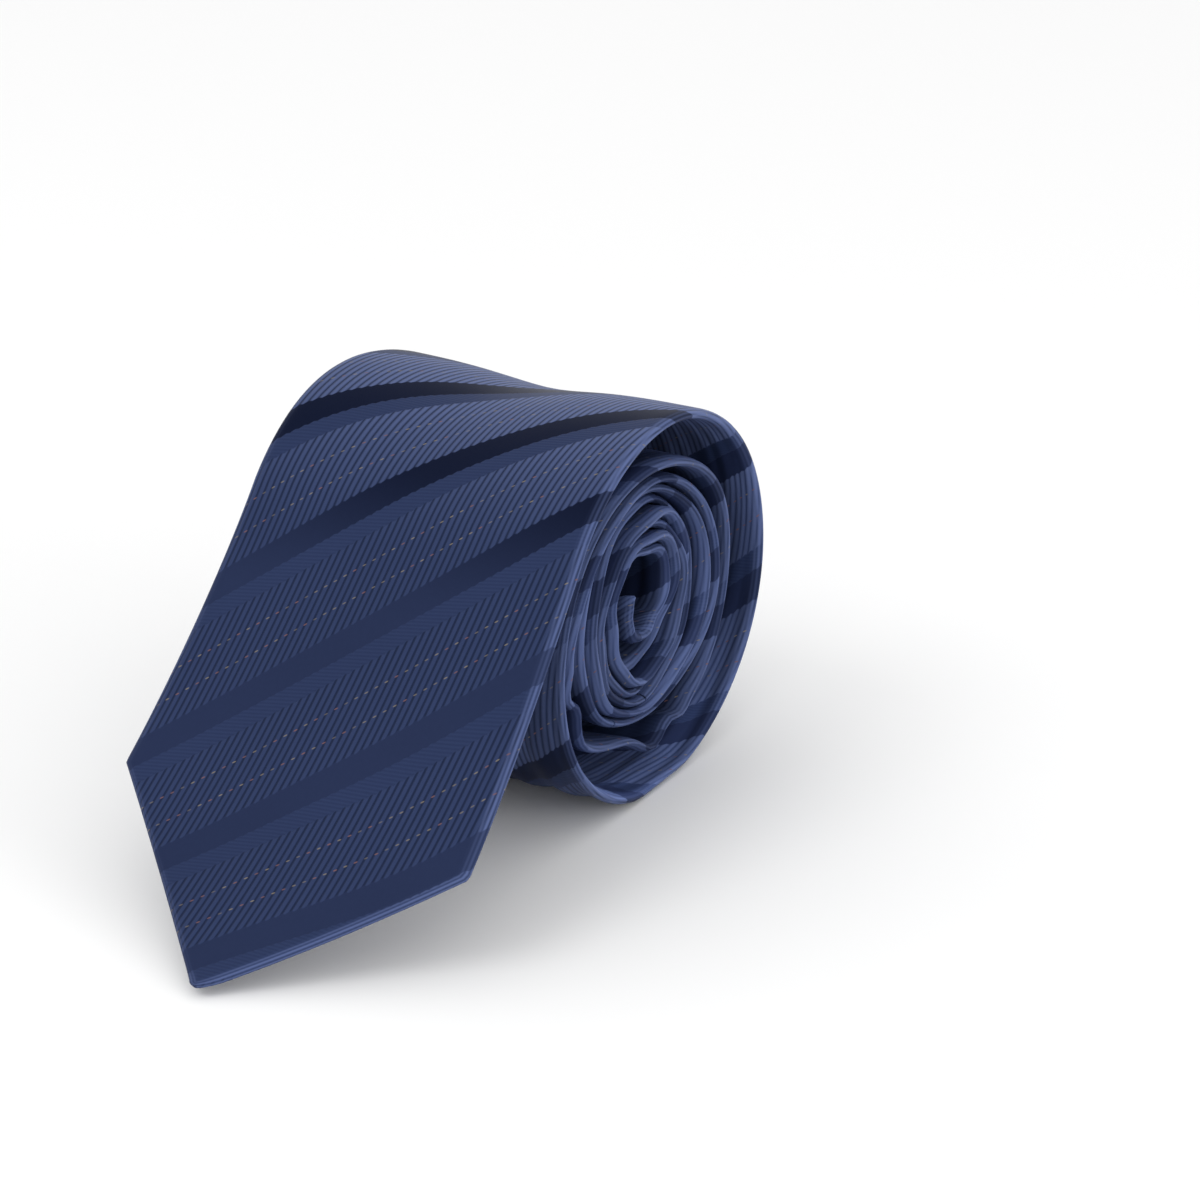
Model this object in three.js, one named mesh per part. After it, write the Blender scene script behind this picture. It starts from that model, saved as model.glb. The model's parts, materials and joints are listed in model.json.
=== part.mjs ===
// A necktie rolled up from its narrow end, with the point of the wide blade hanging off the roll.
//
// Every piece is drawn flat and then carried onto the roll. Flat places are (s, x, n): s runs along the tie
// from the blade's point, x across it, and n outwards from the front silk, so the back lies at n < 0.
// Millimetres and degrees; +X runs along the roll, -Y towards the blade's point, +Z up.
import * as THREE from 'three';

// The tie, laid flat.
const tieLength = 1450;
const bladeWidth = 85;
const neckWidth = 36;
const tailWidth = 50;
const bladeLength = 720;
const tailLength = 430;
const pointHalfWidth = 1.6;
const pointSkew = 2.6;

// Cloth and thread.
const silkThickness = 0.4;
const interliningThickness = 1.0;
const tippingThickness = 0.2;
const plyClearance = 0.1;
const sideClearance = 0.8;
const threadThickness = 0.3;
const seamGap = 0.9;
const cutGap = 0.3;
const tailEndLength = 215;

// The back: hems round the point, the flaps that close above it, and the tack where they meet.
const hemWidth = 9;
const flapSpread = 38;
const tackLength = 3;
const tackWidth = 8;
const tackThickness = 0.4;
const tackToFold = 8;

// The keeper that holds the narrow end when the tie is worn.
const keeperFromPoint = 265;
const keeperWidth = 48;
const keeperHeight = 12;
const keeperSlot = 0.7;
const keeperThickness = 0.5;
const keeperFoot = 3;
const keeperStitchLength = 8;

// The roll.
const coreRadius = 10;
const wrapGap = 0.45;
const looseGap = 7.8;
const looseTurns = 1.2;
const easingTurns = 1.2;
const coreRise = 3.5;
const flattening = 0.97;
const takeOffAngle = -49;
const stepAngle = 15;
const tightStepAngle = 30;
const firstStepAngle = -52.5;
const foldToRoll = 21;
const restDepth = 0.9;
const pointHeight = 2.4;
const pointShift = 3.8;
const rimInset = 0.4;
const rimDrift = 6.4;
const rimDriftLength = 265;
const bladeSteps = 8;

// Sizes that follow from those.
const tieThickness = 2 * silkThickness + interliningThickness + tippingThickness + 3 * plyClearance;
const bladePoint = bladeWidth / 2;
const tailPoint = tailWidth / 2;
const hemAcross = hemWidth * Math.SQRT2;
const slitHalf = threadThickness + 0.5 * cutGap;
const bladeFlapsMeet = bladePoint + flapSpread;
const tailFlapsMeet = tieLength - tailPoint - flapSpread * (tailWidth / bladeWidth);
const foldLine = bladeFlapsMeet + tackLength + tackToFold;
const freeLength = foldLine + foldToRoll;
const tailStart = tieLength - tailLength;
const tailCut = tieLength - tailEndLength;
const windPitch = tieThickness + wrapGap;
const loosePitch = tieThickness + looseGap;
const interliningInset = silkThickness + sideClearance;
const interliningTop = -(silkThickness + plyClearance);
const tippingTop = interliningTop - interliningThickness - plyClearance;
const radians = THREE.MathUtils.degToRad;

const cloth = (color, roughness) => new THREE.MeshStandardMaterial({ color, roughness, metalness: 0 });
const silk = cloth('#374269', 0.45);
const lining = cloth('#232a4a', 0.4);
const canvas = cloth('#d8d2c2', 0.9);
const thread = cloth('#2a3156', 0.6);

// Widths ------------------------------------------------------------------------------------------------

/** Straight-line value between (a, va) and (b, vb), held at the ends. */
function ramp(s, a, va, b, vb) {
  const share = THREE.MathUtils.clamp((s - a) / (b - a), 0, 1);
  return va + (vb - va) * share;
}

/** Distance from the centreline to one long edge. The corner of the point is further back on the left. */
function halfWidth(s, side) {
  const bladeCorner = bladePoint - side * pointSkew;
  if (s < bladeCorner) {
    return ramp(s, 0, pointHalfWidth, bladeCorner, bladeWidth / 2);
  }
  if (s < bladeLength) {
    return ramp(s, bladeCorner, bladeWidth / 2, bladeLength, neckWidth / 2);
  }
  const tailCorner = tieLength - tailPoint;
  if (s < tailCorner) {
    return ramp(s, tailStart, neckWidth / 2, tailCorner, tailWidth / 2);
  }
  return ramp(s, tailCorner, tailWidth / 2, tieLength, pointHalfWidth);
}

/** Distance from the centreline to a back flap's edge: the hems part round each point. */
function flapEdge(s, side) {
  const hemmed = halfWidth(s, side) - hemAcross;
  const closing = s < tieLength / 2
    ? ramp(s, bladePoint, bladeWidth, bladeFlapsMeet, slitHalf)
    : ramp(s, tailFlapsMeet, slitHalf, tieLength - tailPoint, tailWidth);
  return Math.max(slitHalf, Math.min(hemmed, closing));
}

/** Where the tie's centreline lies across the roll: the right-hand edges are kept nearly in line. */
function centreline(s) {
  const onRoll = Math.max(s, freeLength);
  const drift = rimDrift * (1 - Math.exp(-(onRoll - freeLength) / rimDriftLength));
  const rim = halfWidth(freeLength, 1) - rimInset - drift;
  const lead = pointShift * Math.max(0, 1 - s / freeLength);
  return rim - halfWidth(onRoll, 1) + lead;
}

// The path of the front silk, seen from the end of the roll ---------------------------------------------

/** How much tighter the roll is after some turns from where the blade leaves it. */
function tightening(turns) {
  const easing = THREE.MathUtils.clamp(turns - looseTurns, 0, easingTurns);
  const tight = Math.max(0, turns - looseTurns - easingTurns);
  const loose = Math.min(turns, looseTurns);
  const change = (windPitch - loosePitch) / easingTurns;
  return loosePitch * loose + loosePitch * easing + (change * easing * easing) / 2 + windPitch * tight;
}

/** A point of the spiral, before it is set on the floor. */
function spiralPoint(turns, outerRadius) {
  const angle = radians(takeOffAngle) + turns * 2 * Math.PI;
  const radius = outerRadius - tightening(turns);
  const rise = coreRise * THREE.MathUtils.smoothstep(turns, looseTurns - 0.3, looseTurns + easingTurns);
  return new THREE.Vector2(
    (radius * Math.sin(angle)) / flattening,
    radius * Math.cos(angle) * flattening + rise,
  );
}

/** Number of turns that takes up the tie behind the take-off. */
function turnsForLength(length) {
  const fine = 1 / 90;
  let turns = 0;
  let best = 0;
  for (turns = 1; best < length; turns += fine) {
    const outer = coreRadius + tightening(turns);
    best = 0;
    for (let t = 0; t < turns; t += fine) {
      best += spiralPoint(t, outer).distanceTo(spiralPoint(Math.min(turns, t + fine), outer));
    }
  }
  return turns;
}

/** The free blade from the roll to its point, bending a little more level on its way. */
function bladePath(start, slope, bend) {
  const points = [start.clone()];
  const fine = 12;
  let place = start.clone();
  for (let i = 0; i < bladeSteps * fine; i += 1) {
    const share = (i + 0.5) / (bladeSteps * fine);
    const angle = slope - bend * share * share;
    const step = freeLength / (bladeSteps * fine);
    place = place.clone().add(new THREE.Vector2(-Math.cos(angle) * step, -Math.sin(angle) * step));
    if ((i + 1) % fine === 0) {
      points.push(place);
    }
  }
  return points.reverse();
}

/** The path's corners from the blade's point to the core, standing on the height 0. */
function layPath() {
  const rolled = tieLength - freeLength;
  const turns = turnsForLength(rolled);
  const outer = coreRadius + tightening(turns);
  const spiral = [];
  const lengths = [];
  const fine = 1 / 720;
  let run = 0;
  let next = (firstStepAngle + stepAngle - takeOffAngle) / 360;
  for (let t = 0; lengths.length === 0 || lengths[lengths.length - 1] < tieLength; t += fine) {
    if (t === 0 || t >= next) {
      spiral.push(spiralPoint(t, outer));
      lengths.push(freeLength + run);
      const step = t < looseTurns + easingTurns ? stepAngle : tightStepAngle;
      next += t === 0 ? 0 : step / 360;
    }
    run += spiralPoint(t, outer).distanceTo(spiralPoint(t + fine, outer));
  }
  const lowest = Math.min(...spiral.map((p) => p.y));
  const floor = lowest + restDepth;
  spiral.forEach((p) => p.setY(Math.max(p.y, floor) - floor));

  const first = spiral[0];
  const ahead = spiralPoint(fine, outer).sub(spiralPoint(0, outer));
  const slope = Math.atan2(ahead.y, ahead.x);
  let low = 0;
  let high = radians(60);
  for (let i = 0; i < 40; i += 1) {
    const middle = (low + high) / 2;
    const tooLow = bladePath(first, slope, middle)[0].y < pointHeight;
    low = tooLow ? middle : low;
    high = tooLow ? high : middle;
  }
  const blade = bladePath(first, slope, high);
  const corners = blade.map((point, i) => ({ s: (freeLength * i) / bladeSteps, point }));
  spiral.slice(1).forEach((point, i) => corners.push({ s: lengths[i + 1], point }));
  return corners;
}

const path = layPath();

/** Offset at a corner that keeps both faces that meet there at an even depth. */
function mitre(index) {
  const normal = (a, b) => {
    const way = b.point.clone().sub(a.point).normalize();
    return new THREE.Vector2(-way.y, way.x);
  };
  const before = path[Math.max(index - 1, 0)];
  const after = path[Math.min(index + 1, path.length - 1)];
  const here = path[index];
  const first = index > 0 ? normal(before, here) : normal(here, after);
  const second = index < path.length - 1 ? normal(here, after) : first;
  return first.clone().add(second).divideScalar(1 + first.dot(second));
}

path.forEach((corner, index) => {
  corner.mitre = mitre(index);
});

/** Carries a flat place onto the rolled tie. */
function place(s, x, n) {
  let index = 0;
  while (index < path.length - 2 && path[index + 1].s < s) {
    index += 1;
  }
  const [a, b] = [path[index], path[index + 1]];
  const share = (s - a.s) / (b.s - a.s);
  const from = a.point.clone().addScaledVector(a.mitre, n);
  const to = b.point.clone().addScaledVector(b.mitre, n);
  const at = from.lerp(to, share);
  return new THREE.Vector3(x + centreline(s), at.x, at.y);
}

// Pieces ----------------------------------------------------------------------------------------------------

const tie = new THREE.Group();

/** The triangles that fill a section, all wound the same way round. */
function fillSection(section) {
  const outline = section.map(([x, n]) => new THREE.Vector2(x, n));
  return THREE.ShapeUtils.triangulateShape(outline, []).map((corners) => {
    const turned = THREE.ShapeUtils.area(corners.map((c) => outline[c])) < 0;
    return turned ? corners.reverse() : corners;
  });
}

/** Adds a closed solid whose section is ring(s), a list of [x, n], from one s to another. */
function addPiece(name, material, from, to, ring, breaks = []) {
  const section = (s) => {
    const around = ring(s);
    const turned = THREE.ShapeUtils.area(around.map(([x, n]) => new THREE.Vector2(x, n))) < 0;
    return turned ? around.reverse() : around;
  };
  const corners = path.map((corner) => corner.s).concat(breaks);
  const inside = corners.filter((s) => s > from + 0.05 && s < to - 0.05).sort((a, b) => a - b);
  const stations = [from, ...inside, to].filter((s, i, all) => i === 0 || s - all[i - 1] > 0.02);
  const count = section(from).length;
  const vertices = stations.flatMap((s) => section(s).map(([x, n]) => place(s, x, n)));
  const faces = [];
  for (let i = 0; i < stations.length - 1; i += 1) {
    for (let j = 0; j < count; j += 1) {
      const [a, b] = [i * count + j, i * count + ((j + 1) % count)];
      faces.push([b, a, b + count], [b + count, a, a + count]);
    }
  }
  const end = (stations.length - 1) * count;
  fillSection(section(from)).forEach((face) => faces.push(face));
  fillSection(section(to)).forEach(([a, b, c]) => faces.push([c + end, b + end, a + end]));
  const geometry = new THREE.BufferGeometry().setFromPoints(vertices);
  geometry.setIndex(faces.flat());
  geometry.computeVertexNormals();
  const mesh = new THREE.Mesh(geometry, material);
  mesh.name = name;
  tie.add(mesh);
}

/** Section of the silk: front, two folded edges and two back flaps that leave a slit between them. */
function silkRing(s) {
  const [left, right] = [halfWidth(s, -1), halfWidth(s, 1)];
  const [flapLeft, flapRight] = [flapEdge(s, -1), flapEdge(s, 1)];
  const [back, wall] = [-tieThickness, silkThickness];
  return [
    [-flapLeft, back], [-left, back], [-left, 0], [right, 0], [right, back], [flapRight, back],
    [flapRight, back + wall], [right - wall, back + wall], [right - wall, -wall],
    [wall - left, -wall], [wall - left, back + wall], [-flapLeft, back + wall],
  ];
}

/** Section of a flat layer inside the silk. */
function layerRing(s, top, thickness) {
  const left = interliningInset - halfWidth(s, -1);
  const right = halfWidth(s, 1) - interliningInset;
  return [[left, top], [right, top], [right, top - thickness], [left, top - thickness]];
}

/** Section of a bar of the given half width round a middle. */
function barRing(middle, half, top, thickness) {
  const [left, right, under] = [middle - half, middle + half, top - thickness];
  return [[left, top], [right, top], [right, under], [left, under]];
}

const bladeBreaks = [
  hemAcross + slitHalf, bladePoint - pointSkew, bladePoint, bladePoint + pointSkew, bladeFlapsMeet,
];
const tailBreaks = [tailFlapsMeet, tieLength - tailPoint, tieLength - hemAcross];

function addSilk() {
  addPiece('blade_shell_loose', silk, 0, foldLine - cutGap / 2, silkRing, bladeBreaks);
  addPiece('blade_shell_rolled', silk, foldLine + cutGap / 2, bladeLength - seamGap / 2, silkRing);
  addPiece('neck_shell', silk, bladeLength + seamGap / 2, tailStart - seamGap / 2, silkRing);
  addPiece('tail_shell', silk, tailStart + seamGap / 2, tailCut - cutGap / 2, silkRing);
  addPiece('tail_end_shell', silk, tailCut + cutGap / 2, tieLength, silkRing, tailBreaks);
}

function addInterlining() {
  const ring = (s) => layerRing(s, interliningTop, interliningThickness);
  const inset = 3 * interliningInset;
  addPiece('blade_interlining_loose', canvas, inset, foldLine - cutGap / 2, ring, bladeBreaks);
  addPiece('blade_interlining_rolled', canvas, foldLine + cutGap / 2, bladeLength - seamGap / 2, ring);
  addPiece('tail_interlining', canvas, bladeLength + seamGap / 2, tieLength - inset, ring, tailBreaks);
}

function addTipping() {
  const ring = (s) => layerRing(s, tippingTop, tippingThickness);
  const inset = 3 * interliningInset;
  addPiece('blade_tipping', lining, inset, bladeFlapsMeet + tackLength, ring, bladeBreaks);
  addPiece('tail_tipping', lining, tailFlapsMeet - tackLength, tieLength - inset, ring, tailBreaks);
}

function addThreads() {
  const tackRing = () => barRing(0, tackWidth / 2, -tieThickness - plyClearance, tackThickness);
  addPiece('blade_bar_tack', thread, bladeFlapsMeet + 1, bladeFlapsMeet + tackLength, tackRing);
  addPiece('tail_bar_tack', thread, tailFlapsMeet - tackLength, tailFlapsMeet - 1, tackRing);

  const stitchTop = silkThickness - tieThickness - plyClearance / 2;
  const stitchRing = () => barRing(0, threadThickness / 2, stitchTop, threadThickness);
  const stitchStart = bladeFlapsMeet + tackLength;
  addPiece('slip_stitch_loose', thread, stitchStart, foldLine - cutGap / 2, stitchRing);
  addPiece('slip_stitch_rolled', thread, foldLine + cutGap / 2, tailFlapsMeet - tackLength, stitchRing);

  const seamRing = (s) => {
    const reach = halfWidth(s, 1) - 2 * interliningInset;
    return barRing(0, reach, -plyClearance / 2, threadThickness);
  };
  const seam = (name, s) => {
    const half = threadThickness / 2;
    addPiece(name, thread, s - half, s + half, seamRing);
  };
  seam('blade_neck_seam', bladeLength);
  seam('neck_tail_seam', tailStart);
}

function addKeeper() {
  const base = -tieThickness - plyClearance;
  const half = keeperWidth / 2;
  const inner = half - keeperFoot;
  const top = base - keeperSlot - keeperThickness;
  const ring = () => [
    [-half, base], [-half, top], [half, top], [half, base],
    [inner, base], [inner, base - keeperSlot], [-inner, base - keeperSlot], [-inner, base],
  ];
  const from = keeperFromPoint - keeperHeight / 2;
  addPiece('keeper_loop', silk, from, from + keeperHeight, ring);
  const stitch = (name, side) => {
    const stitchMiddle = side * (half - keeperFoot / 2);
    const stitchRing = () => barRing(stitchMiddle, threadThickness, top - plyClearance, threadThickness);
    const start = keeperFromPoint - keeperStitchLength / 2;
    addPiece(name, thread, start, start + keeperStitchLength, stitchRing);
  };
  stitch('keeper_stitch_left', -1);
  stitch('keeper_stitch_right', 1);
}

addSilk();
addInterlining();
addTipping();
addThreads();
addKeeper();

// The origin is at the middle of the tie's outline, on the surface it stands on.
const box = new THREE.Box3().setFromObject(tie);
const middle = box.getCenter(new THREE.Vector3());
tie.position.set(-middle.x, -middle.y, -box.min.z);

export default tie;
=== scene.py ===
"""A silk necktie rolled up from its narrow end, with its front blade hanging off the roll.

Every cloth piece is laid out flat and then carried onto the roll. Flat places are in millimetres: s runs
along the tie from the blade's point, x across it, and n outwards from the front silk, so the back of the
tie lies at n < 0. Everything that Blender holds is in metres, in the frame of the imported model.
"""

import json
import logging
import math
from collections.abc import Callable
from dataclasses import dataclass, field
from enum import Enum

import bpy
import numpy as np
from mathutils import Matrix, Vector


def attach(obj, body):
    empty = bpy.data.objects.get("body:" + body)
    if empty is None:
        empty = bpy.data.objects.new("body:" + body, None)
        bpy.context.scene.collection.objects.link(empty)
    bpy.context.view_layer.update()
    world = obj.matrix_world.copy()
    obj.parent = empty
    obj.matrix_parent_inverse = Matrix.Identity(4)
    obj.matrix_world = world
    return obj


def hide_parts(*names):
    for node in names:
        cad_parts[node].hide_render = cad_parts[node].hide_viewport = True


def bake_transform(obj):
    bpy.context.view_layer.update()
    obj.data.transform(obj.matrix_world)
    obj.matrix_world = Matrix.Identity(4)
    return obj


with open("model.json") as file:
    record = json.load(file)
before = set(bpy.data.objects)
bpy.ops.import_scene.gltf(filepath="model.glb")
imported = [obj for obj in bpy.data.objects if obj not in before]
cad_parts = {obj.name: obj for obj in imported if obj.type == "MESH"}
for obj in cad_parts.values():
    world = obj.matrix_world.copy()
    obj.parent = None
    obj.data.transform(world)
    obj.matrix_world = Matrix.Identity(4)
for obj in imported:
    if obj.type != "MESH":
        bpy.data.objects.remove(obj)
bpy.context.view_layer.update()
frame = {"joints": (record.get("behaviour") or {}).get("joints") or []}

MM = 0.001
LOG = logging.getLogger("necktie")
Array = np.ndarray
Span = tuple[float, float]
Piece = bpy.types.Object
Socket = bpy.types.NodeSocket
Node = bpy.types.Node
Tree = bpy.types.NodeTree
Material = bpy.types.Material


# Sizes -----------------------------------------------------

@dataclass(frozen=True)
class TieSizes:
    """The tie laid flat, in millimetres."""

    length: float = 1450.0
    blade_width: float = 85.0
    neck_width: float = 36.0
    tail_width: float = 50.0
    blade_length: float = 720.0
    tail_length: float = 430.0
    point_skew: float = 2.6
    point_round: float = 2.4
    hem: float = 9.0
    flap_spread: float = 38.0
    silk: float = 0.4
    canvas: float = 1.0
    lining: float = 0.2
    ply_gap: float = 0.1
    tack_length: float = 3.0
    tack_to_fold: float = 8.0
    fold_to_roll: float = 21.0
    keeper_from_point: float = 265.0
    tight_from: float = 540.0

    @property
    def thickness(self) -> float:
        """Front silk to back silk."""
        return 2 * self.silk + self.canvas + self.lining + 3 * self.ply_gap

    @property
    def blade_point(self) -> float:
        """Depth of the blade's right-angled point."""
        return self.blade_width / 2

    @property
    def tail_point(self) -> float:
        """Depth of the tail's right-angled point."""
        return self.tail_width / 2

    @property
    def blade_flaps_meet(self) -> float:
        """Where the blade's back flaps close above the point."""
        return self.blade_point + self.flap_spread

    @property
    def tail_flaps_meet(self) -> float:
        """Where the tail's back flaps close before its point."""
        return self.length - self.tail_point - self.flap_spread * self.tail_width / self.blade_width

    @property
    def fold_line(self) -> float:
        """Where the loose blade bends when it is lifted."""
        return self.blade_flaps_meet + self.tack_length + self.tack_to_fold

    @property
    def free_length(self) -> float:
        """Blade that hangs free of the roll."""
        return self.fold_line + self.fold_to_roll

    @property
    def tail_start(self) -> float:
        """Where the tail's silk is seamed to the neck's."""
        return self.length - self.tail_length

    def half_width(self, s: Array, side: int) -> Array:
        """Distance from the centreline to a long edge.

        Args:
            s: Places along the tie.
            side: -1 for the left edge and 1 for the right.

        Returns:
            The half width at each place, rounded off at both points.
        """
        s = np.asarray(s, dtype=float)
        corner = self.blade_point - side * self.point_skew
        marks = [0, corner, self.blade_length, self.tail_start, self.length - self.tail_point, self.length]
        halves = [0, self.blade_width, self.neck_width, self.neck_width, self.tail_width, 0]
        straight = np.interp(s, marks, np.array(halves) / 2)
        from_point = np.minimum(s, self.length - s)
        r = self.point_round
        round_off = np.sqrt(np.maximum(r * r - (r * math.sqrt(2) - from_point) ** 2, 0.01))
        return np.where(from_point < r / math.sqrt(2), np.minimum(round_off, straight + r), straight)

    def flap_lap(self, s: Array) -> Array:
        """How fully the back flaps lap over: where the roll is tight they only meet."""
        opened = smooth(self.blade_flaps_meet + 1, self.blade_flaps_meet + 22, s)
        return opened * (1 - smooth(self.tight_from, self.tight_from + 40, s))


def smooth(low: float, high: float, value: Array) -> Array:
    """A value's eased way from 0 at low to 1 at high."""
    share = np.clip((np.asarray(value, dtype=float) - low) / (high - low), 0, 1)
    return share * share * (3 - 2 * share)


def window(comes: Span, goes: Span, value: Array) -> Array:
    """Up from 0 to 1 over one span of values and down again over the next."""
    return smooth(*comes, value) * (1 - smooth(*goes, value))


def hump(middle: float, width: float, value: Array) -> Array:
    """A bell, 1 at its middle."""
    return np.exp(-((value - middle) / width) ** 2)


# The roll --------------------------------------------------

def blade_pivot() -> list[float]:
    """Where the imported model's blade joint turns, in metres."""
    return next(joint for joint in frame["joints"] if joint["name"] == "blade_lift")["pos_m"]


def least_enough(low: float, high: float, too_little: Callable[[float], bool]) -> float:
    """Finds the least value at which a test is no longer true, by halving the span between two.

    Args:
        low: A value at which the test is true.
        high: A value at which it isn't.
        too_little: The test.

    Returns:
        The value.
    """
    for _ in range(40):
        middle = (low + high) / 2
        low, high = (middle, high) if too_little(middle) else (low, middle)
    return high


@dataclass
class Roll:
    """The path that the tie's front silk follows, and the way from the flat tie onto it.

    Spans along the tie are counted from where the blade leaves the roll.
    """

    tie: TieSizes
    core_radius: float = 10.0
    wrap_gap: float = 0.45
    loose_gap: float = 7.8
    loose_turns: float = 1.2
    easing_turns: float = 1.2
    core_rise: float = 3.5
    flattening: float = 0.97
    take_off: float = -49.0
    point_height: float = 2.4
    rest_depth: float = 1.0
    point_shift: float = 3.8
    rim_inset: float = 0.4
    rim_drift: float = 6.4
    rim_drift_length: float = 265.0
    hook_depth: float = 4.4
    hook_turns: float = 0.8
    slack: float = 1.0
    slack_comes: Span = (-10.0, 40.0)
    slack_goes: Span = (110.0, 170.0)
    flare: float = 2.8
    flare_across: Span = (-4.0, -40.0)
    flare_along: Span = (22.0, 26.0)
    dip: float = 2.0
    dip_across: Span = (-2.0, 15.0)
    dip_along: Span = (50.0, 30.0)
    pleat: float = 0.4
    pleat_across: Span = (0.0, 16.0)
    pleat_comes: Span = (70.0, 110.0)
    pleat_goes: Span = (215.0, 260.0)
    crumple: float = 1.8
    crumple_swell: float = 0.8
    crumple_rim: Span = (22.0, 2.0)
    crumple_comes: Span = (384.0, 408.0)
    crumple_goes: Span = (436.0, 466.0)
    edges_drift: Span = (240.0, 360.0)
    crush_radii: Span = (15.0, 33.0)
    crush_core: Span = (2.0, 11.0)
    crush_rim: Span = (-12.0, 30.0)
    crush_depth: float = 1.5
    wrinkle_rim: Span = (-14.0, 12.0)
    wrinkle: float = 0.3
    press_height: float = 1.5
    slope_reach: float = 0.6
    blade_steps: int = 400
    s: Array = field(init=False)
    y: Array = field(init=False)
    z: Array = field(init=False)
    offset: Array = field(init=False)
    core: Span = field(init=False)

    def __post_init__(self) -> None:
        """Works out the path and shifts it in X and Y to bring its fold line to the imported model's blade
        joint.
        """
        self.lay()
        pivot = np.array(blade_pivot()) / MM
        fold = self.tie.fold_line
        here = [self.centreline(fold), np.interp(fold, self.s, self.y), np.interp(fold, self.s, self.z)]
        self.offset = np.array([pivot[0] - here[0], pivot[1] - here[1], 0.0])

    def tightening(self, turns: Array) -> Array:
        """How much smaller the roll is after some turns from where the blade leaves it."""
        tight_pitch = self.tie.thickness + self.wrap_gap
        loose_pitch = self.tie.thickness + self.loose_gap
        easing = np.clip(turns - self.loose_turns, 0, self.easing_turns)
        tight = np.maximum(0, turns - self.loose_turns - self.easing_turns)
        change = (tight_pitch - loose_pitch) / self.easing_turns
        loose = loose_pitch * (np.minimum(turns, self.loose_turns) + easing)
        return loose + change * easing ** 2 / 2 + tight_pitch * tight

    def spiral(self, turns: Array, last: float) -> tuple[Array, Array]:
        """Y and Z of the spiral round its middle, wound for the given number of turns."""
        angle = math.radians(self.take_off) + turns * 2 * math.pi
        hook = self.hook_depth * smooth(last - self.hook_turns, last, turns)
        radius = self.core_radius + float(self.tightening(np.float64(last))) - self.tightening(turns) - hook
        rise = self.core_rise * smooth(self.loose_turns - 0.3, self.loose_turns + self.easing_turns, turns)
        y = radius * np.sin(angle) / self.flattening
        z = radius * np.cos(angle) * self.flattening + rise
        return y, z

    def lay(self) -> None:
        """Finds the number of turns that takes up the tie, then the free blade down to its point."""
        rolled = self.tie.length - self.tie.free_length

        def too_short(turns: float) -> bool:
            """Tells whether so many turns take up too little of the tie."""
            y, z = self.spiral(np.linspace(0, turns, 4000), turns)
            return float(np.hypot(np.diff(y), np.diff(z)).sum()) < rolled

        count = least_enough(2.0, 30.0, too_short)
        y, z = self.spiral(np.linspace(0, count, 9000), count)
        LOG.info("roll: %.2f turns", count)
        z = z - (z.min() + self.rest_depth)
        z = np.where(z < self.press_height, np.log1p(np.exp(np.clip(z * 4, -30, 30))) / 4 - 0.0006, z)
        run = np.concatenate([[0], np.cumsum(np.hypot(np.diff(y), np.diff(z)))])
        slope = math.atan2(z[1] - z[0], y[1] - y[0])

        def too_low(bend: float) -> bool:
            """Tells whether the blade's point would lie too low."""
            return self.blade(y[0], z[0], slope, bend)[1][-1] < self.point_height

        bend = least_enough(0.0, math.radians(60), too_low)
        blade_y, blade_z = self.blade(y[0], z[0], slope, bend)
        blade_s = np.linspace(self.tie.free_length, 0, len(blade_y))
        self.s = np.concatenate([blade_s[:0:-1], self.tie.free_length + run])
        self.y = np.concatenate([blade_y[:0:-1], y])
        self.z = np.concatenate([blade_z[:0:-1], z])
        inner = self.s > self.tie.length - 200
        self.core = (float(self.y[inner].mean()), float(self.z[inner].mean()))

    def blade(self, y: float, z: float, slope: float, bend: float) -> tuple[Array, Array]:
        """The free blade from the roll to its point, bending a little more level on its way."""
        share = (np.arange(self.blade_steps) + 0.5) / self.blade_steps
        angle = slope - bend * share ** 2
        step = self.tie.free_length / self.blade_steps
        blade_y = np.concatenate([[y], y - np.cumsum(np.cos(angle) * step)])
        blade_z = np.concatenate([[z], z - np.cumsum(np.sin(angle) * step)])
        return blade_y, blade_z

    def centreline(self, s: Array) -> Array:
        """Where the tie's middle lies across the roll: the right-hand edges are kept nearly in line."""
        free = self.tie.free_length
        on_roll = np.maximum(s, free)
        drift = self.rim_drift * (1 - np.exp(-(on_roll - free) / self.rim_drift_length))
        rim = self.tie.half_width(free, 1) - self.rim_inset - drift
        lead = self.point_shift * np.maximum(0, 1 - np.asarray(s) / free)
        return rim - self.tie.half_width(on_roll, 1) + lead

    def turn(self, s: Array) -> Array:
        """Angle round the roll, in turns, from the top towards the back."""
        middle_z = 0.5 * (self.z.max() + self.z.min())
        y = np.interp(s, self.s, self.y)
        z = np.interp(s, self.s, self.z)
        return np.arctan2(y, z - middle_z) / (2 * math.pi)

    def swell(self, s: Array, x: Array) -> Array:
        """How far the cloth stands off its even path: the slack of the outer turns and their folds."""
        past = s - self.tie.free_length
        slack = self.slack * window(self.slack_comes, self.slack_goes, past)
        flare = self.flare * smooth(*self.flare_across, x) * hump(*self.flare_along, past)
        dip = self.dip * hump(*self.dip_across, x) * hump(*self.dip_along, past)
        pleated = window(self.pleat_comes, self.pleat_goes, past) * smooth(*self.pleat_across, x)
        pleat = self.pleat * pleated * (np.sin(x / 1.5 + 1.4 * np.sin(s / 31.0)) - 1)
        rim = smooth(*self.crumple_rim, self.tie.half_width(s, 1) - x)
        crumpled = window(self.crumple_comes, self.crumple_goes, past) * rim
        fold = np.sin(s / 2.9 + 1.6 * np.sin(s / 9.0) + x / 8.0)
        return slack + flare - dip + pleat + crumpled * (self.crumple * fold + self.crumple_swell)

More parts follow.
